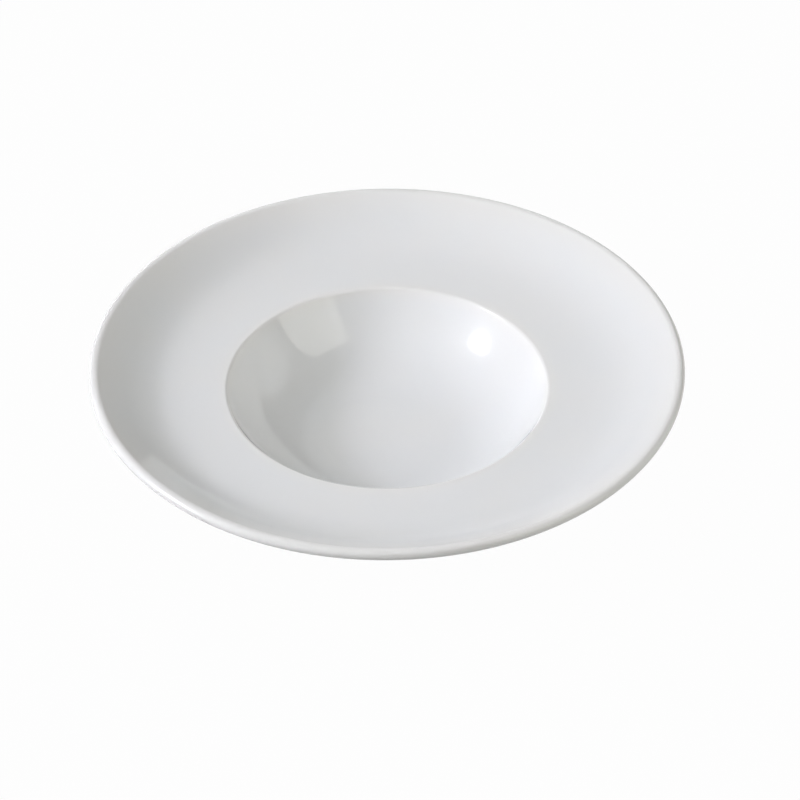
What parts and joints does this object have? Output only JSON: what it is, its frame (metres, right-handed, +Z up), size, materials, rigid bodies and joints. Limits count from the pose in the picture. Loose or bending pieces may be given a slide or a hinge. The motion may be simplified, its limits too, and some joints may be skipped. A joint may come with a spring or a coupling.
{
  "type": "soup plate",
  "caption": "Round wide-rimmed soup plate in white glazed porcelain, with a deep central well, a gently dished rim, a rounded lip and a bare foot ring to stand on.",
  "frame": {"origin": "centre of the foot ring's bearing face, on the surface that the plate stands on", "axes": "+Z up along the plate's axis of revolution; X and Y lie in the table plane, and their turn about Z is free because the plate is round"},
  "size_m": [0.3, 0.3, 0.0628],
  "materials": {
    "bare_porcelain": "unglazed fired body, matt and slightly warm, ground smooth on the foot ring",
    "white_glaze": "clear gloss glaze over a cool white body"
  },
  "bodies": {
    "root": {"porcelain_body": "bare_porcelain", "glaze_coat": "white_glaze", "base_glaze": "white_glaze"}
  },
  "joints": []
}
